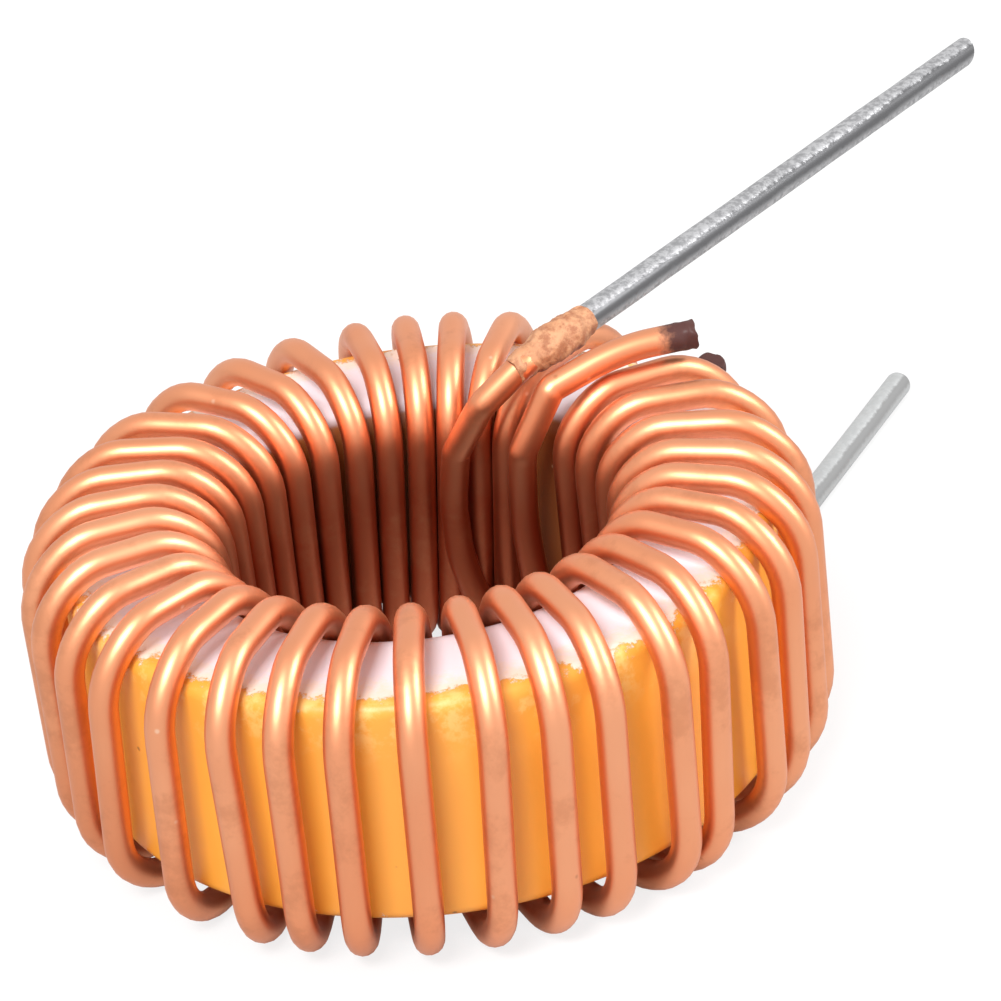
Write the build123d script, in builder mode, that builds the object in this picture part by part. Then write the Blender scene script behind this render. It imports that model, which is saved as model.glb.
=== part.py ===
"""Toroidal inductor: one enamelled copper wire wound by hand on a painted iron-powder ring.

The ring's axis is Z. The turns stand on the plane z = 0, and the origin is where the axis meets it.
Angles are in degrees about the axis, counter-clockwise from +X as seen from above.
"""

from build123d import *
import os
from math import cos, pi, radians, sin

os.makedirs("parts", exist_ok=True)

# ---- Driving dimensions, mm -------------------------------------------------------------------
core_diameter = 20.2
hole_diameter = 12.5
core_height = 6.95
core_edge = 0.4             # radius of the core's rounded outer edges
hole_edge = 0.9             # radius of the rounded edges of its hole
wire_diameter = 0.84        # over the enamel
copper_diameter = 0.76      # the stripped ends inside the solder
finish_lead_diameter = 0.88  # over the solder of the upper lead
start_lead_diameter = 0.84   # over the solder of the lower lead
collar_diameter = 1.16      # over the burnt enamel beside the upper lead's solder
tip_skin = 0.3              # solder over the end of the copper
tip_slant = 28              # degrees that the upper lead's cut leans
tip_round = 0.22            # rounding of the lower lead's tip
cut_chamfer = 0.08          # broken edge of the two cut ends

wire = wire_diameter / 2
inside = 5.767              # the wire's centre where a turn climbs the hole
outside = 10.96             # the wire's centre where a turn goes down the outer wall
second_layer = 4.88         # the wire's centre where it climbs inside the first layer
low = wire                  # height of the wire's centre where a turn lies under the core
core_bottom = low + 0.944
high = core_bottom + 7.85   # height of the wire's centre where a turn lies over the core
lead_height = core_bottom + 8.95  # where the upper lead levels off
inner_bend = 1.41           # bends under the core
outer_bend = 2.02
inner_arch = 2.1            # bends over the core
outer_arch = 2.3

# Each turn climbs the hole at the first angle, crosses the outer edge at the second and leaves the
# outer wall at the third. The turns were laid by hand, so their spacing is uneven.
turns = [
    (59, 53, 52), (67.6, 70, 70), (76.2, 80.7, 80.5), (85, 89.3, 89), (94.6, 98.2, 97.5),
    (104.3, 110.6, 110), (115, 122.5, 121), (125.5, 134.5, 133), (135.5, 147.5, 146),
    (146, 158, 157), (157, 167.5, 166), (168.5, 177, 175.5), (179.5, 186.5, 186), (191.5, 196, 194),
    (203, 207, 202.5), (213.5, 217, 211.5), (223, 228.5, 226), (234, 238.5, 239),
    (246, 247.8, 246.8), (257.2, 256.7, 255), (267.3, 267, 265.3), (278, 278.2, 275.5),
    (288.3, 287, 285), (298.2, 295.2, 293.5), (309.3, 306, 304.8), (320, 314.3, 310.8),
    (330, 325.5, 324.3), (340.8, 335, 332), (351.2, 345, 342), (363, 354, 351.5),
    (376, 364.5, 364), (388.8, 377, 376), (398.7, 389, 386),
]
# How far round each turn's foot in the hole stands from its head: only those beside the leads lean.
lean = {0: 9, 1: 9, 2: 8.8, 3: 8.3, 4: 7.4, 5: 6.2, 6: 5, 7: 3.5, 8: 2.5, 9: 1.5, len(turns) - 1: 2}


def at(radius, angle, height):
    """Point at a radius and an angle about the ring's axis."""
    return Vector(radius * cos(radians(angle)), radius * sin(radians(angle)), height)


def along(start, end, distance):
    """Point on the line from start towards end."""
    return start + (end - start).normalized() * distance


# ---- Routes of the wire's centre ---------------------------------------------------------------
# The lower lead runs out flat under the turns. Its enamel ends a little way past the last bend.
start_bend = Vector(9.4, 6.67, low)
start_tip = Vector(15.9, 18.2, low)
start_strip = along(start_bend, start_tip, 2.6)

# The upper lead climbs the hole on top of the first layer and leans out over the ring.
finish_route = [
    at(second_layer, 61, low),
    at(second_layer, 77.4, core_bottom + 1.5),
    at(second_layer, 78, core_bottom + 5.25),
    at(4.75, 70, core_bottom + 6.87),
    Vector(2.85, 4.0, core_bottom + 8.55),
    Vector(4.3, 4.95, lead_height),
]
finish_radii = [1.0, 2.0, 2.0, 2.0, 1.6, 3.0]
finish_kink = Vector(6.0, 6.7, lead_height + 0.1)
finish_tip = Vector(19.3, 21.4, lead_height + 0.25)
kink_radius = 8.0
finish_strip = along(finish_kink, finish_route[-1], 0.7)
collar_start = along(finish_route[-2], finish_route[-1], 0.9)

winding_route = [start_strip, start_bend]
winding_radii = [3.0]
for index in reversed(range(len(turns))):
    head, crown, foot = turns[index]
    winding_route += [
        at(inside, head + lean.get(index, 0), low),
        at(inside, head, high),
        at(outside, crown, high),
        at(outside, foot, low),
    ]
    winding_radii += [inner_bend, inner_arch, outer_arch, outer_bend]
winding_route += finish_route + [finish_strip]
winding_radii += finish_radii

# One more turn is cut open: its two ends stand beside each other between the first and last turns.
cut_route = [
    at(11.1, 35, high - 0.8),
    at(outside, 43.5, low),
    at(5.15, 50, low),
    at(4.85, 52, core_bottom + 5.05),
    at(4.84, 44, core_bottom + 7.58),
    Vector(5.13, 4.16, core_bottom + 8.89),
    Vector(8.56, 4.78, core_bottom + 8.89),
]
cut_radii = [outer_bend, 1.2, 3.0, 2.0, 2.5]


# ---- Core --------------------------------------------------------------------------------------
with BuildPart() as core:
    with BuildSketch(Plane.XY.offset(core_bottom)):
        Circle(core_diameter / 2)
        Circle(hole_diameter / 2, mode=Mode.SUBTRACT)
    extrude(amount=core_height)
    rims = core.edges().filter_by(GeomType.CIRCLE).sort_by(SortBy.RADIUS)
    fillet(rims[2:], core_edge)
    fillet(rims[:2], hole_edge)
core.part.label = "core"
export_step(core.part, "parts/core.step")

# ---- Winding: the whole wire, with its two stripped ends ------------------------------------------
with BuildPart() as winding:
    with BuildLine() as winding_line:
        FilletPolyline(*winding_route, radius=winding_radii)
    with BuildSketch(Plane(winding_line.line @ 0, z_dir=winding_line.line % 0)):
        Circle(wire)
    sweep(path=winding_line.line)
    with BuildLine() as start_copper:
        Line(start_strip, along(start_tip, start_bend, tip_skin))
    with BuildSketch(Plane(start_strip, z_dir=start_copper.line % 0)):
        Circle(copper_diameter / 2)
    sweep(path=start_copper.line)
    with BuildLine() as finish_copper:
        FilletPolyline(finish_strip, finish_kink, finish_tip, radius=kink_radius)
    with BuildSketch(Plane(finish_strip, z_dir=finish_copper.line % 0)):
        Circle(copper_diameter / 2)
    sweep(path=finish_copper.line)
    finish_out = (finish_tip - finish_kink).normalized()
    slant = Plane(finish_tip, z_dir=finish_out).rotated((0, tip_slant, 0))
    split(bisect_by=slant.offset(-tip_skin - finish_lead_diameter / 2), keep=Keep.BOTTOM)
winding.part.label = "winding"
export_step(winding.part, "parts/winding.step")

# ---- The turn that is cut open -------------------------------------------------------------------
with BuildPart() as cut_turn:
    with BuildLine() as cut_line:
        FilletPolyline(*cut_route, radius=cut_radii)
    with BuildSketch(Plane(cut_line.line @ 0, z_dir=cut_line.line % 0)):
        Circle(wire)
    sweep(path=cut_line.line)
    chamfer(cut_turn.edges().filter_by(GeomType.CIRCLE).sort_by(Axis.Z)[-2:], cut_chamfer)
cut_turn.part.label = "cut_turn"
export_step(cut_turn.part, "parts/cut_turn.step")

# ---- Solder on the two stripped leads ------------------------------------------------------------
with BuildPart() as finish_lead_solder:
    with BuildSketch(Plane(finish_strip, z_dir=finish_copper.line % 0)):
        Circle(finish_lead_diameter / 2)
    sweep(path=finish_copper.line)
    split(bisect_by=slant.offset(-finish_lead_diameter / 2), keep=Keep.BOTTOM)
    add(winding.part, mode=Mode.SUBTRACT)
finish_lead_solder.part.label = "finish_lead_solder"
export_step(finish_lead_solder.part, "parts/finish_lead_solder.step")

with BuildPart() as start_lead_solder:
    with BuildLine() as start_axis:
        Line(start_strip, start_tip)
    with BuildSketch(Plane(start_strip, z_dir=start_axis.line % 0)):
        Circle(start_lead_diameter / 2)
    sweep(path=start_axis.line)
    fillet(start_lead_solder.edges().filter_by(GeomType.CIRCLE).sort_by(Axis.Y)[-1], tip_round)
    with BuildSketch(Plane(start_strip, z_dir=start_axis.line % 0)):
        Circle(copper_diameter / 2)
    sweep(path=start_copper.line, mode=Mode.SUBTRACT)
start_lead_solder.part.label = "start_lead_solder"
export_step(start_lead_solder.part, "parts/start_lead_solder.step")

# ---- Enamel burnt into a rough collar where the upper lead was tinned ------------------------------
with BuildPart() as burnt_enamel:
    with BuildLine() as collar_line:
        FilletPolyline(collar_start, finish_route[-1], finish_strip, radius=finish_radii[-1])
    with BuildSketch(Plane(collar_start, z_dir=collar_line.line % 0)):
        Circle(collar_diameter / 2)
    sweep(path=collar_line.line)
    chamfer(burnt_enamel.edges().filter_by(GeomType.CIRCLE), (collar_diameter - wire_diameter) / 4)
    add(winding.part, mode=Mode.SUBTRACT)
burnt_enamel.part.label = "burnt_enamel"
export_step(burnt_enamel.part, "parts/burnt_enamel.step")

for name, line in (("winding", winding_line), ("cut_turn", cut_line)):
    length = sum(edge.length for edge in line.line.edges())
    print(name, "length", round(length, 1), "mm, section times length", round(length * pi * wire**2, 2))
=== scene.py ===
"""Toroidal inductor: painted iron-powder ring, enamelled copper winding and two tinned leads."""

from math import cos, pi, radians, sin

import bmesh
import bpy
from mathutils import Matrix, Vector, noise


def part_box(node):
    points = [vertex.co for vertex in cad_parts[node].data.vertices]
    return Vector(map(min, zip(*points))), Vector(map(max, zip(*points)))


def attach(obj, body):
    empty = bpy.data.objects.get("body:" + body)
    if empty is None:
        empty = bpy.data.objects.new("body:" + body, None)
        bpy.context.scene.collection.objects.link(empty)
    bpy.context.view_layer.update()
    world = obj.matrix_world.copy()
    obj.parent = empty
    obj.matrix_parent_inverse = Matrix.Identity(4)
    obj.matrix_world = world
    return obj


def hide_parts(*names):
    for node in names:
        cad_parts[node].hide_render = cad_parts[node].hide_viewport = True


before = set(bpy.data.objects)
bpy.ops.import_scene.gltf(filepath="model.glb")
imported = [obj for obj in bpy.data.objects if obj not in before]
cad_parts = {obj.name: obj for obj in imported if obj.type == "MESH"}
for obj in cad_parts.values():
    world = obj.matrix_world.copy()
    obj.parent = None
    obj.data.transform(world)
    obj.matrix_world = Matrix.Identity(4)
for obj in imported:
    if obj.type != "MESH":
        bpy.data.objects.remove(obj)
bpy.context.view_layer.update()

mm = 0.001
noise.seed_set(5)           # without it the vector noise starts from the clock

# ---- Driving sizes, read from the frame where it holds them ----------------------------------------
core_low, core_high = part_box("core")
core_radius = core_high[0]
core_bottom = core_low[2]
core_top = core_high[2]
hole_radius = 6.25 * mm
core_edge = 0.4 * mm
hole_edge = 0.9 * mm
wire = 0.42 * mm            # radius over the enamel
inside = 5.767 * mm         # the wire's centre where a turn climbs the hole
outside = 10.96 * mm        # the wire's centre where a turn goes down the outer wall
second_layer = 4.88 * mm    # the wire's centre where it climbs inside the first layer
low = wire
high = core_bottom + 7.85 * mm
lead_height = core_bottom + 8.95 * mm
inner_bend = 1.41 * mm      # bends under the core
outer_bend = 2.02 * mm
inner_arch = 2.1 * mm       # bends over the core
outer_arch = 2.3 * mm
upper_lead_radius = 0.435 * mm
lower_lead_radius = 0.415 * mm
lower_lead_rounding = 0.2 * mm
upper_lead_slant = 0.5      # how far its cut end leans back, in lengths along for each across
upper_lead_cut = 0.32 * mm  # from the end of its route back to the cut
collar_radius = 0.49 * mm   # before its swells
char_reach = 1.75 * mm      # how far the enamel is charred from a cut end

# Each turn climbs the hole at the first angle, crosses the outer edge at the second and leaves the
# outer wall at the third. Such a core is wound by hand, so the turns' spacing is uneven.
turns = [
    (59, 53, 52), (67.6, 70, 70), (76.2, 80.7, 80.5), (85, 89.3, 89), (94.6, 98.2, 97.5),
    (104.3, 110.6, 110), (115, 122.5, 121), (125.5, 134.5, 133), (135.5, 147.5, 146),
    (146, 158, 157), (157, 167.5, 166), (168.5, 177, 175.5), (179.5, 186.5, 186), (191.5, 196, 194),
    (203, 207, 202.5), (213.5, 217, 211.5), (223, 228.5, 226), (234, 238.5, 239),
    (246, 247.8, 246.8), (257.2, 256.7, 255), (267.3, 267, 265.3), (278, 278.2, 275.5),
    (288.3, 287, 285), (298.2, 295.2, 293.5), (309.3, 306, 304.8), (320, 314.3, 310.8),
    (330, 325.5, 324.3), (340.8, 335, 332), (351.2, 345, 342), (363, 354, 351.5),
    (376, 364.5, 364), (388.8, 377, 376), (398.7, 389, 386),
]
# How far round each turn's foot in the hole stands from its head: only those beside the leads lean.
lean = {0: 9, 1: 9, 2: 8.8, 3: 8.3, 4: 7.4, 5: 6.2, 6: 5, 7: 3.5, 8: 2.5, 9: 1.5, len(turns) - 1: 2}


def at(radius, angle, height):
    """Point at a radius and an angle about the ring's axis."""
    return Vector((radius * cos(radians(angle)), radius * sin(radians(angle)), height))


def at_mm(x, y, height):
    """Point from millimetres across and a height in metres."""
    return Vector((x * mm, y * mm, height))


def along(start, end, distance):
    """Point on the line from start towards end."""
    return start + (end - start).normalized() * distance


# ---- The wire's route --------------------------------------------------------------------------
near = 0.586                # a bend's first control point, in bend radii from its corner
far = 1.414                 # its second one, where the run beside it is long enough


def side(start, end, bend_start, bend_end):
    """Control points along one straight side of a turn, between the bends at its two corners."""
    length = (end - start).length
    room = min(1.0, 0.9 * length / (near * (bend_start + bend_end)))
    bend_start *= room
    bend_end *= room
    points = [along(start, end, near * bend_start)]
    if far * (bend_start + bend_end) < 0.98 * length:
        points.append(along(start, end, far * bend_start))
        points.append(along(end, start, far * bend_end))
    else:
        points.append(along(start, end, length * bend_start / (bend_start + bend_end)))
    points.append(along(end, start, near * bend_end))
    return points


def bent(corners, bends):
    """Control points of a wire that runs straight between corners and bends at each inner one."""
    bends = [0.0] + bends + [0.0]
    points = []
    for here in range(len(corners) - 1):
        points += side(corners[here], corners[here + 1], bends[here], bends[here + 1])
    points[0] = corners[0]
    points[-1] = corners[-1]
    return points


start_bend = at_mm(9.4, 6.67, low)
start_tip = at_mm(15.9, 18.2, low)
start_strip = along(start_bend, start_tip, 2.6 * mm)

finish_route = [
    at(second_layer, 61, low),
    at(second_layer, 77.4, core_bottom + 1.5 * mm),
    at(second_layer, 78, core_bottom + 5.25 * mm),
    at(4.75 * mm, 70, core_bottom + 6.87 * mm),
    at_mm(2.85, 4.0, core_bottom + 8.55 * mm),
    at_mm(4.3, 4.95, lead_height),
]
finish_bends = [1.0 * mm, 1.6 * mm, 1.6 * mm, 1.5 * mm, 1.6 * mm, 1.8 * mm]
finish_kink = at_mm(6.0, 6.7, lead_height + 0.1 * mm)
finish_tip = at_mm(19.3, 21.4, lead_height + 0.25 * mm)
finish_strip = along(finish_kink, finish_route[-1], 0.7 * mm)
collar_start = along(finish_route[-2], finish_route[-1], 0.5 * mm)

winding_corners = [start_strip, start_bend]
winding_bends = [1.6 * mm]
for index in reversed(range(len(turns))):
    head, crown, foot = turns[index]
    winding_corners += [
        at(inside, head + lean.get(index, 0), low),
        at(inside, head, high),
        at(outside, crown, high),
        at(outside, foot, low),
    ]
    winding_bends += [inner_bend, inner_arch, outer_arch, outer_bend]
winding_corners += finish_route + [finish_strip]
winding_bends += finish_bends

cut_corners = [
    at(11.1 * mm, 35, high - 0.8 * mm),
    at(outside, 43.5, low),
    at(5.15 * mm, 50, low),
    at(4.85 * mm, 52, core_bottom + 5.05 * mm),
    at(4.84 * mm, 44, core_bottom + 7.58 * mm),
    at_mm(5.13, 4.16, core_bottom + 8.89 * mm),
    at_mm(8.56, 4.78, core_bottom + 8.89 * mm),
]
cut_bends = [outer_bend, 1.2 * mm, 1.8 * mm, 2.0 * mm, 2.2 * mm]


# ---- Mesh helpers ------------------------------------------------------------------------------
def finished(name, mesh, material, replaced=()):
    """Puts a mesh into the scene as a piece of the object."""
    piece = bpy.data.objects.new(name, mesh)
    bpy.context.scene.collection.objects.link(piece)
    mesh.materials.clear()
    mesh.materials.append(material)
    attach(piece, "root")
    if replaced:
        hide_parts(*replaced)
    return piece


def wire_mesh(name, points, radius, steps=5, sides=6, swells=None):
    """Round wire along a smooth curve that the points pull on."""
    curve = bpy.data.curves.new(name + "_line", "CURVE")
    curve.dimensions = "3D"
    curve.bevel_depth = radius
    curve.bevel_resolution = sides
    curve.use_fill_caps = True
    spline = curve.splines.new("NURBS")
    spline.points.add(len(points) - 1)
    for number, place in enumerate(points):
        spline.points[number].co = (*place, 1.0)
        spline.points[number].radius = swells[number] if swells else 1.0
    spline.order_u = 3
    spline.use_endpoint_u = True
    spline.resolution_u = steps
    holder = bpy.data.objects.new(name + "_line", curve)
    bpy.context.scene.collection.objects.link(holder)
    bpy.context.view_layer.update()
    mesh = bpy.data.meshes.new_from_object(holder.evaluated_get(bpy.context.evaluated_depsgraph_get()))
    mesh.name = name
    bpy.data.objects.remove(holder)
    bpy.data.curves.remove(curve)
    mesh.shade_smooth()
    return mesh


# ---- Shader helpers ----------------------------------------------------------------------------
class Shader:
    """A material's or a group's node tree, with short calls to add and join its nodes."""

    def __init__(self, tree):
        self.tree = tree

    def add(self, kind, **values):
        node = self.tree.nodes.new(kind)
        for key, value in values.items():
            setattr(node, key, value)
        return node

    def feed(self, value, socket):
        if isinstance(value, bpy.types.NodeSocket):
            self.tree.links.new(value, socket)
        else:
            socket.default_value = value

    def math(self, operation, *values, clamp=False):
        node = self.add("ShaderNodeMath", operation=operation, use_clamp=clamp)
        for value, socket in zip(values, node.inputs):
            self.feed(value, socket)
        return node.outputs[0]

    def noise(self, vector, scale, detail=2.0, roughness=0.5):
        node = self.add("ShaderNodeTexNoise")
        self.feed(vector, node.inputs["Vector"])
        node.inputs["Scale"].default_value = scale
        node.inputs["Detail"].default_value = detail
        node.inputs["Roughness"].default_value = roughness
        return node.outputs["Fac"]

    def step(self, value, start, end):
        """0 below start, 1 above end, smooth between them."""
        node = self.add("ShaderNodeMapRange", interpolation_type="SMOOTHSTEP")
        self.feed(value, node.inputs["Value"])
        self.feed(start, node.inputs["From Min"])
        self.feed(end, node.inputs["From Max"])
        return node.outputs["Result"]

    def mix(self, factor, first, second, blend="MIX"):
        node = self.add("ShaderNodeMix", data_type="RGBA", blend_type=blend)
        self.feed(factor, node.inputs[0])
        self.feed(first, node.inputs[6])
        self.feed(second, node.inputs[7])
        return node.outputs[2]

    def blend(self, factor, first, second):
        node = self.add("ShaderNodeMix", data_type="FLOAT")
        self.feed(factor, node.inputs[0])
        self.feed(first, node.inputs[2])
        self.feed(second, node.inputs[3])
        return node.outputs[0]

    def bump(self, height, strength, distance, normal=None):
        node = self.add("ShaderNodeBump")
        self.feed(height, node.inputs["Height"])
        node.inputs["Strength"].default_value = strength
        node.inputs["Distance"].default_value = distance
        if normal is not None:
            self.feed(normal, node.inputs["Normal"])
        return node.outputs["Normal"]


def material(name):
    """A new material, its shader helper, its Principled node and its object coordinates."""
    made = bpy.data.materials.new(name)
    made.use_nodes = True
    shader = Shader(made.node_tree)
    surface = made.node_tree.nodes["Principled BSDF"]
    place = shader.add("ShaderNodeTexCoord").outputs["Object"]
    return made, shader, surface, place


def coordinates(shader, place):
    """A place's x, y and z."""
    node = shader.add("ShaderNodeSeparateXYZ")
    shader.feed(place, node.inputs[0])
    return node.outputs


def from_axis(shader, x, y):
    """How far a place is from the ring's axis, in metres."""
    squares = shader.math("ADD", shader.math("MULTIPLY", x, x), shader.math("MULTIPLY", y, y))
    return shader.math("SQRT", squares)


def distance_to(shader, place, point):
    """How far a place is from a fixed point, in metres."""
    node = shader.add("ShaderNodeVectorMath", operation="DISTANCE")
    shader.feed(place, node.inputs[0])
    node.inputs[1].default_value = tuple(point)
    return node.outputs["Value"]


# ---- Materials ---------------------------------------------------------------------------------
copper_deep = (0.83, 0.33, 0.165, 1)
copper_light = (0.89, 0.40, 0.215, 1)
copper_speck = (1.0, 0.78, 0.58, 1)
copper_pit = (0.45, 0.16, 0.07, 1)
# painted shade: the deep red-brown the wire is given down in the hole
copper_shade_in_hole = (0.47, 0.10, 0.038, 1)
copper_rubbed = (0.60, 0.23, 0.11, 1)
charred_enamel = (0.06, 0.012, 0.008, 1)
yellow_deep = (0.86, 0.36, 0.045, 1)
yellow_light = (0.92, 0.43, 0.06, 1)
yellow_chalk = (0.96, 0.66, 0.24, 1)
white_deep = (0.83, 0.78, 0.86, 1)
white_light = (0.89, 0.86, 0.91, 1)
white_overspray = (0.93, 0.74, 0.42, 1)
# painted shade: the deep brown the paint is given in the bore
paint_shade_in_bore = (0.22, 0.05, 0.015, 1)
paint_pit = (0.35, 0.17, 0.05, 1)
paint_speck = (0.95, 0.80, 0.50, 1)
# Each solder's tones: the first is the painted dark reflection band, the other two the grain's tones.
bright_solder_shades = (0.15, 0.15, 0.155, 1), (0.34, 0.34, 0.35, 1), (0.55, 0.55, 0.56, 1)
dull_solder_shades = (0.38, 0.38, 0.38, 1), (0.56, 0.57, 0.57, 1), (0.61, 0.62, 0.62, 1)
crust_deep = (0.36, 0.135, 0.06, 1)
crust_light = (0.60, 0.30, 0.155, 1)
crust_blotch = (0.52, 0.22, 0.10, 1)


def speck_group():
    """Dust: sparse bright and dark specks, as two masks, and a fine unevenness."""
    group = bpy.data.node_groups.new("dust_specks", "ShaderNodeTree")
    group.interface.new_socket("Place", in_out="INPUT", socket_type="NodeSocketVector")
    size = group.interface.new_socket("Scale", in_out="INPUT", socket_type="NodeSocketFloat")
    size.default_value = 900.0
    for name in ("Specks", "Pits", "Mottle"):
        group.interface.new_socket(name, in_out="OUTPUT", socket_type="NodeSocketFloat")
    shader = Shader(group)
    given = shader.add("NodeGroupInput")
    result = shader.add("NodeGroupOutput")
    cells = shader.add("ShaderNodeTexVoronoi", feature="F1")
    shader.feed(given.outputs["Place"], cells.inputs["Vector"])
    shader.feed(given.outputs["Scale"], cells.inputs["Scale"])
    spread = shader.add("ShaderNodeSeparateColor")
    shader.feed(cells.outputs["Color"], spread.inputs["Color"])
    near_middle = shader.step(cells.outputs["Distance"], 0.11, 0.03)
    bright = shader.math("GREATER_THAN", spread.outputs["Red"], 0.90)
    dark = shader.math("GREATER_THAN", spread.outputs["Green"], 0.93)
    shader.feed(shader.math("MULTIPLY", near_middle, bright), result.inputs["Specks"])
    shader.feed(shader.math("MULTIPLY", near_middle, dark), result.inputs["Pits"])
    shader.feed(shader.noise(given.outputs["Place"], 420.0, 4.0, 0.6), result.inputs["Mottle"])
    return group


dust_specks = speck_group()


def dusted(shader, place, scale):
    """The dust group placed in a material, at that many cells a metre."""
    node = shader.add("ShaderNodeGroup")
    node.node_tree = dust_specks
    shader.feed(place, node.inputs["Place"])
    node.inputs["Scale"].default_value = scale
    return node.outputs


def enamelled_copper(name, burnt_near=()):
    """Clear amber enamel over drawn copper; it chars near the places given, and is darkened by painted
    shade down in the hole.
    """
    made, shader, surface, place = material(name)
    dust = dusted(shader, place, 1100.0)
    tint = shader.noise(place, 130.0, 3.0, 0.55)
    colour = shader.mix(shader.step(tint, 0.35, 0.7), copper_deep, copper_light)
    colour = shader.mix(shader.math("MULTIPLY", dust["Specks"], 0.45), colour, copper_speck)
    colour = shader.mix(shader.math("MULTIPLY", dust["Pits"], 0.5), colour, copper_pit)
    # Painted shade: the wire turns deep red-brown going down into the hole below the top face, standing
    # in for the shade there.
    x, y, z = coordinates(shader, place)
    depth = shader.step(z, core_top + 0.6 * mm, core_top - 3.2 * mm)
    in_hole = shader.step(from_axis(shader, x, y), hole_radius + 0.35 * mm, hole_radius - 0.15 * mm)
    painted_hole_shade = shader.math("MULTIPLY", depth, in_hole)
    colour = shader.mix(shader.math("MULTIPLY", painted_hole_shade, 0.85), colour, copper_shade_in_hole)
    rubbed = shader.step(shader.noise(place, 420.0, 5.0, 0.7), 0.5, 0.66)
    colour = shader.mix(shader.math("MULTIPLY", rubbed, 0.4), colour, copper_rubbed)
    rough = shader.blend(dust["Mottle"], 0.36, 0.5)
    metal = None
    if burnt_near:
        reach = None
        for point in burnt_near:
            gap = distance_to(shader, place, point)
            reach = gap if reach is None else shader.math("MINIMUM", reach, gap)
        uneven = shader.math("MULTIPLY", shader.noise(place, 2600.0, 3.0, 0.6), 0.9 * mm)
        charred = shader.step(shader.math("ADD", reach, uneven), char_reach, 0.7 * char_reach)
        colour = shader.mix(charred, colour, charred_enamel)
        rough = shader.blend(charred, rough, 0.75)
        metal = shader.blend(charred, 1.0, 0.0)
    shader.feed(colour, surface.inputs["Base Color"])
    shader.feed(rough, surface.inputs["Roughness"])
    if metal is None:
        surface.inputs["Metallic"].default_value = 1.0
    else:
        shader.feed(metal, surface.inputs["Metallic"])
    surface.inputs["Coat Weight"].default_value = 0.2
    surface.inputs["Coat Roughness"].default_value = 0.3
    surface.inputs["Coat IOR"].default_value = 1.5
    ripple = shader.noise(place, 700.0, 2.0, 0.5)
    shader.feed(shader.bump(ripple, 0.25, 0.02 * mm), surface.inputs["Normal"])
    return made


def core_paint():
    """Yellow paint on the ring's walls and white paint on its faces, meeting in a ragged line; the bore
    is darkened by painted shade.
    """
    made, shader, surface, place = material("core_paint")
    x, y, z = coordinates(shader, place)
    radius = from_axis(shader, x, y)
    ragged = shader.math("SUBTRACT", shader.noise(place, 1500.0, 8.0, 0.78), 0.5)
    ragged = shader.math("MULTIPLY", ragged, 2.6 * mm)
    wander = shader.math("SUBTRACT", shader.noise(place, 190.0, 2.0, 0.5), 0.5)
    wander = shader.math("MULTIPLY", wander, 0.9 * mm)
    shift = shader.math("ADD", ragged, wander)
    edge = shader.math("ADD", radius, shift)
    on_face = shader.step(edge, core_radius - 0.30 * mm, core_radius - 0.46 * mm)
    above = shader.step(z, core_top - 0.42 * mm, core_top - 0.30 * mm)
    below = shader.step(z, core_bottom + 0.42 * mm, core_bottom + 0.30 * mm)
    face = shader.math("MULTIPLY", on_face, shader.math("MAXIMUM", above, below))
    overspray = shader.step(edge, core_radius - 1.5 * mm, core_radius - 0.45 * mm)
    overspray = shader.math("MULTIPLY", overspray, 0.5)
    dust = dusted(shader, place, 1200.0)
    yellow = shader.mix(shader.noise(place, 160.0, 3.0, 0.6), yellow_deep, yellow_light)
    pale = shader.step(z, core_top - 2.2 * mm, core_top - 0.2 * mm)
    chalky = shader.math("MULTIPLY", pale, shader.step(shader.noise(place, 900.0, 5.0, 0.7), 0.48, 0.62))
    yellow = shader.mix(shader.math("MULTIPLY", chalky, 0.55), yellow, yellow_chalk)
    white = shader.mix(shader.noise(place, 230.0, 3.0, 0.6), white_deep, white_light)
    white = shader.mix(overspray, white, white_overspray)
    colour = shader.mix(face, yellow, white)
    # Painted shade: the paint in the bore is darkened to deep brown, standing in for the shade inside the
    # hole.
    bore_shade = shader.step(radius, hole_radius + 0.45 * mm, hole_radius + 0.1 * mm)
    colour = shader.mix(shader.math("MULTIPLY", bore_shade, 0.9), colour, paint_shade_in_bore)
    colour = shader.mix(shader.math("MULTIPLY", dust["Pits"], 0.8), colour, paint_pit)
    colour = shader.mix(shader.math("MULTIPLY", dust["Specks"], 0.5), colour, paint_speck)
    shader.feed(colour, surface.inputs["Base Color"])
    shader.feed(shader.blend(dust["Mottle"], 0.3, 0.5), surface.inputs["Roughness"])
    surface.inputs["Specular IOR Level"].default_value = 0.5
    relief = shader.math("ADD", shader.math("MULTIPLY", face, 0.8), shader.noise(place, 500.0, 5.0, 0.62))
    relief = shader.math("SUBTRACT", relief, dust["Pits"])
    shader.feed(shader.bump(relief, 0.5, 0.05 * mm), surface.inputs["Normal"])
    return made


reflection_band_facing = Vector((0, -cos(radians(30)), sin(radians(30))))    # the way the painted dark reflection band on the solder faces: from the front, about 30 degrees up, as the camera looks


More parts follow.
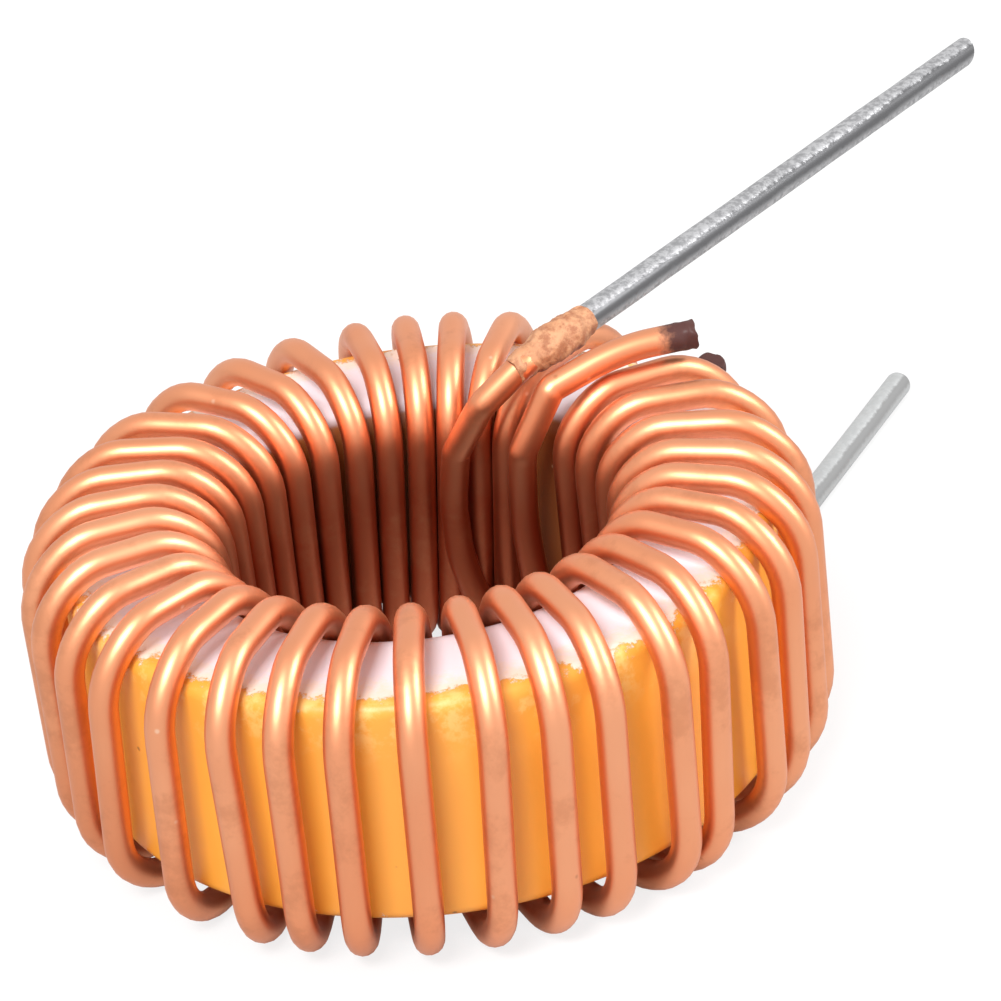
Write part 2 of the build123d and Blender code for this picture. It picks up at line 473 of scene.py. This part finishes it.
def solder_finish(name, start, end, radius, shades, grain):
    """Tinned wire: grainy and bright above, pale below, and between them a smooth band where the solder
    ran off, whose dark colour is a painted reflection set by the way the camera looks.
    """
    made, shader, surface, place = material(name)
    across = (end - start).cross(reflection_band_facing).normalized()
    if across.z < 0:
        across.negate()
    reach = shader.add("ShaderNodeVectorMath", operation="DOT_PRODUCT")
    shader.feed(place, reach.inputs[0])
    reach.inputs[1].default_value = tuple(across)
    offset = shader.math("SUBTRACT", reach.outputs["Value"], start.dot(across))
    grains = shader.noise(place, 5200.0, 3.0, 0.7)
    drag = shader.noise(place, 260.0, 2.0, 0.5)
    waver = shader.math("MULTIPLY", shader.math("SUBTRACT", shader.math("ADD", grains, drag), 1.0), 0.45)
    height = shader.math("ADD", shader.math("DIVIDE", offset, radius), waver)
    # The band: smoother and less grainy, and painted with the dark tone as a painted reflection.
    stripe = shader.math("MULTIPLY", shader.step(height, 0.30, 0.02), shader.step(height, -0.85, -0.45))
    dark, middle, light = shades
    skin = shader.mix(shader.step(grains, 0.38, 0.62), middle, light)
    # Painted reflection: the band takes the dark tone.
    colour = shader.mix(stripe, skin, dark)
    shader.feed(colour, surface.inputs["Base Color"])
    shader.feed(shader.blend(stripe, 0.5, 0.3), surface.inputs["Roughness"])
    surface.inputs["Metallic"].default_value = 0.85
    rough_share = shader.math("SUBTRACT", 1.0, shader.math("MULTIPLY", stripe, 0.8))
    relief = shader.math("MULTIPLY", grains, rough_share)
    shader.feed(shader.bump(relief, grain, 0.03 * mm), surface.inputs["Normal"])
    return made


def burnt_enamel_finish():
    """Enamel blistered and dried by the solder's heat: tan, crusty and dull."""
    made, shader, surface, place = material("burnt_enamel")
    crust = shader.noise(place, 2400.0, 6.0, 0.7)
    blotch = shader.noise(place, 600.0, 3.0, 0.5)
    colour = shader.mix(shader.step(crust, 0.38, 0.62), crust_deep, crust_light)
    colour = shader.mix(shader.step(blotch, 0.55, 0.75), colour, crust_blotch)
    shader.feed(colour, surface.inputs["Base Color"])
    surface.inputs["Roughness"].default_value = 0.62
    shader.feed(shader.bump(crust, 0.8, 0.08 * mm), surface.inputs["Normal"])
    return made


copper = enamelled_copper("enamelled_copper")
cut_copper = enamelled_copper("cut_copper", (cut_corners[0], cut_corners[-1]))
paint = core_paint()
bright_solder = solder_finish(
    "bright_solder", finish_kink, finish_tip, 0.44 * mm, bright_solder_shades, grain=0.45,
)
dull_solder = solder_finish(
    "dull_solder", start_bend, start_tip, 0.4 * mm, dull_solder_shades, grain=0.12,
)
crust = burnt_enamel_finish()


# ---- Pieces --------------------------------------------------------------------------------------
def make_core():
    """The ring: its section, with four rounded corners, spun about the axis."""
    shape = bmesh.new()
    corner_steps = 6
    outline = []
    corners = (
        (core_radius - core_edge, core_top - core_edge, core_edge, 0),
        (hole_radius + hole_edge, core_top - hole_edge, hole_edge, 90),
        (hole_radius + hole_edge, core_bottom + hole_edge, hole_edge, 180),
        (core_radius - core_edge, core_bottom + core_edge, core_edge, 270),
    )
    for radius, height, edge, first in corners:
        for step in range(corner_steps + 1):
            turn = radians(first + 90 * step / corner_steps)
            outline.append(shape.verts.new((radius + edge * cos(turn), 0, height + edge * sin(turn))))
    sides = [shape.edges.new((outline[i - 1], outline[i])) for i in range(len(outline))]
    bmesh.ops.subdivide_edges(shape, edges=[e for e in sides if e.calc_length() > 1.5 * mm], cuts=6)
    bmesh.ops.spin(
        shape, geom=shape.verts[:] + shape.edges[:], axis=(0, 0, 1), cent=(0, 0, 0),
        angle=2 * pi, steps=240, use_merge=True,
    )
    bmesh.ops.remove_doubles(shape, verts=shape.verts, dist=0.001 * mm)
    bmesh.ops.recalc_face_normals(shape, faces=shape.faces)
    mesh = bpy.data.meshes.new("ring_core")
    shape.to_mesh(mesh)
    shape.free()
    mesh.shade_smooth()
    return finished("ring_core", mesh, paint, ("core",))


def make_winding():
    """The one long wire of the winding, with its enamel."""
    mesh = wire_mesh("copper_winding", bent(winding_corners, winding_bends), wire)
    return finished("copper_winding", mesh, copper, ("winding",))


def roughen(mesh, ends, amount, fineness, reach):
    """Pushes the vertices near the given ends in and out, as where wire was snapped and charred."""
    for vertex in mesh.vertices:
        gap = min((vertex.co - end).length for end in ends)
        if gap < reach:
            vertex.co += noise.noise_vector(vertex.co * fineness) * amount * (1 - gap / reach)


def make_cut_turn():
    """The turn that was cut open, with its two ragged ends."""
    mesh = wire_mesh("cut_turn_wire", bent(cut_corners, cut_bends), wire, steps=24, sides=14)
    ends = cut_corners[0], cut_corners[-1]
    roughen(mesh, ends, amount=0.16 * mm, fineness=4200.0, reach=0.75 * mm)
    return finished("cut_turn_wire", mesh, cut_copper, ("cut_turn",))


def tube(name, start, end, radius, rings, slant=0.0, uneven=0.0, tip=0.0):
    """Straight round rod from start to end, its far end cut on a slant or rounded."""
    length = (end - start).length
    shape = bmesh.new()
    segments = 32
    bmesh.ops.create_circle(shape, cap_ends=False, radius=radius, segments=segments)
    edges = shape.edges[:]
    for _ in range(rings):
        grown = bmesh.ops.extrude_edge_only(shape, edges=edges)["geom"]
        verts = [v for v in grown if isinstance(v, bmesh.types.BMVert)]
        edges = [e for e in grown if isinstance(e, bmesh.types.BMEdge)]
        bmesh.ops.translate(shape, verts=verts, vec=(0, 0, length / rings))
    rims = [e for e in shape.edges if e.is_boundary]
    bmesh.ops.holes_fill(shape, edges=rims, sides=segments)
    if tip:
        lip = [e for e in shape.edges if all(abs(v.co.z - length) < 1e-7 for v in e.verts)]
        bmesh.ops.bevel(shape, geom=lip, offset=tip, segments=4, profile=0.5, affect="EDGES", material=-1)
    end_part = 3 * radius
    for vertex in shape.verts:
        share = max(0.0, vertex.co.z - length + end_part) / end_part
        vertex.co.z += slant * (vertex.co.y - radius) * share
        if uneven and vertex.co.xy.length > 0.5 * radius:
            swell = 1 + uneven * noise.noise(vertex.co * 900.0)
            vertex.co.x *= swell
            vertex.co.y *= swell
    way = (end - start).normalized()
    turn = way.to_track_quat("Z", "Y").to_matrix().to_4x4()
    bmesh.ops.transform(shape, matrix=Matrix.Translation(start) @ turn, verts=shape.verts)
    bmesh.ops.recalc_face_normals(shape, faces=shape.faces)
    mesh = bpy.data.meshes.new(name)
    shape.to_mesh(mesh)
    shape.free()
    mesh.shade_smooth()
    mesh.set_sharp_from_angle(angle=radians(45))
    return mesh


def make_leads():
    """The solder-coated ends of the wire."""
    upper = tube(
        "upper_lead", finish_strip, along(finish_tip, finish_kink, upper_lead_cut), upper_lead_radius,
        rings=60, slant=upper_lead_slant, uneven=0.02,
    )
    finished("upper_lead", upper, bright_solder, ("finish_lead_solder",))
    lower = tube(
        "lower_lead", start_strip, start_tip, lower_lead_radius,
        rings=40, uneven=0.01, tip=lower_lead_rounding,
    )
    finished("lower_lead", lower, dull_solder, ("start_lead_solder",))


def make_collar():
    """The crusty collar of burnt enamel, thickest in the middle, with a smooth lip at the solder."""
    bend = finish_route[-1]
    points = [
        collar_start,
        along(collar_start, bend, 0.6 * mm),
        along(bend, collar_start, 0.3 * mm),
        along(bend, finish_strip, 0.3 * mm),
        along(bend, finish_strip, 1.1 * mm),
        finish_strip,
    ]
    swells = (0.82, 0.95, 1.1, 1.22, 1.2, 0.94)
    mesh = wire_mesh("burnt_collar", points, collar_radius, steps=24, sides=14, swells=swells)
    for vertex in mesh.vertices:
        vertex.co += noise.turbulence_vector(vertex.co * 1100.0, 3, False) * 0.08 * mm
        vertex.co += noise.turbulence_vector(vertex.co * 3600.0, 3, False) * 0.04 * mm
    return finished("burnt_collar", mesh, crust, ("burnt_enamel",))


make_core()
make_winding()
make_cut_turn()
make_leads()
make_collar()


# ---- Floor, light and camera -------------------------------------------------------------------
floor_reach = 2.0
camera_rise = 29.9          # degrees above the horizon
camera_roll = -7.1          # degrees
camera_distance = 12.0      # in core radii, from the point it looks at
camera_shift = 0.2, 0.335   # across and up, in core radii
aim_height = 0.33           # above the core's underside, in core radii
focal_length = 152.7        # millimetres, for a sensor 36 mm wide


def seen_white(shader, straight, mirrored, shaded):
    """One amount for rays that look straight, another in reflections and a third for plain light."""
    path = shader.add("ShaderNodeLightPath")
    mirror = shader.math("MAXIMUM", path.outputs["Is Glossy Ray"], path.outputs["Is Transmission Ray"])
    return shader.blend(path.outputs["Is Camera Ray"], shader.blend(mirror, shaded, mirrored), straight)


def make_floor():
    """A wide white floor that keeps the object's shadow."""
    shape = bmesh.new()
    bmesh.ops.create_grid(shape, x_segments=1, y_segments=1, size=floor_reach)
    mesh = bpy.data.meshes.new("floor")
    shape.to_mesh(mesh)
    shape.free()
    made = bpy.data.materials.new("floor_white")
    made.use_nodes = True
    shader = Shader(made.node_tree)
    surface = made.node_tree.nodes["Principled BSDF"]
    level = seen_white(shader, 0.9, 0.5, 0.5)
    shader.feed(shader.mix(level, (0, 0, 0, 1), (1, 1, 1, 1)), surface.inputs["Base Color"])
    surface.inputs["Roughness"].default_value = 1.0
    surface.inputs["Specular IOR Level"].default_value = 0.0
    glow = shader.add("ShaderNodeEmission")
    both = shader.add("ShaderNodeMixShader")
    shader.feed(seen_white(shader, 0.8, 0.1, 0.0), both.inputs[0])
    shader.feed(surface.outputs[0], both.inputs[1])
    shader.feed(glow.outputs[0], both.inputs[2])
    shader.feed(both.outputs[0], made.node_tree.nodes["Material Output"].inputs["Surface"])
    mesh.materials.append(made)
    floor = bpy.data.objects.new("floor", mesh)
    bpy.context.scene.collection.objects.link(floor)


def make_world():
    """White all round to the eye and in reflections, dimmer as a light."""
    world = bpy.data.worlds.new("studio")
    world.use_nodes = True
    shader = Shader(world.node_tree)
    background = world.node_tree.nodes["Background"]
    shader.feed(seen_white(shader, 1.0, 0.9, 0.75), background.inputs["Strength"])
    background.inputs["Color"].default_value = (1, 1, 1, 1)
    bpy.context.scene.world = world


def softbox(name, place, size, power):
    """A square area light at a place, aimed at the middle of the ring."""
    lamp = bpy.data.lights.new(name, "AREA")
    lamp.shape = "RECTANGLE"
    lamp.size = size[0]
    lamp.size_y = size[1]
    lamp.energy = power
    holder = bpy.data.objects.new(name, lamp)
    aim = Vector((0, 0, 0.5 * core_top)) - Vector(place)
    holder.rotation_euler = aim.to_track_quat("-Z", "Y").to_euler()
    holder.location = place
    bpy.context.scene.collection.objects.link(holder)


def make_camera():
    """A long lens from the front, about 30 degrees above the horizon and rolled a little."""
    rise = radians(camera_rise)
    roll = radians(camera_roll)
    back = Vector((0, -cos(rise), sin(rise)))
    level = Vector((1, 0, 0))
    upright = level.cross(-back)
    across = cos(roll) * level + sin(roll) * upright
    up = cos(roll) * upright - sin(roll) * level
    aim = Vector((0, 0, core_bottom + aim_height * core_radius))
    lens = bpy.data.cameras.new("camera")
    lens.lens = focal_length
    lens.sensor_width = 36.0
    lens.clip_start = 0.005
    holder = bpy.data.objects.new("camera", lens)
    shift = camera_shift[0] * across + camera_shift[1] * up
    place = aim + core_radius * (camera_distance * back + shift)
    holder.matrix_world = Matrix.Translation(place) @ Matrix((across, up, back)).transposed().to_4x4()
    bpy.context.scene.collection.objects.link(holder)
    bpy.context.scene.camera = holder


make_floor()
make_world()
softbox("key", (-0.08, -0.20, 0.27), (0.14, 0.10), 1.1)
softbox("side", (0.28, -0.04, 0.20), (0.10, 0.12), 0.7)
make_camera()
bpy.context.scene.view_settings.view_transform = "Standard"
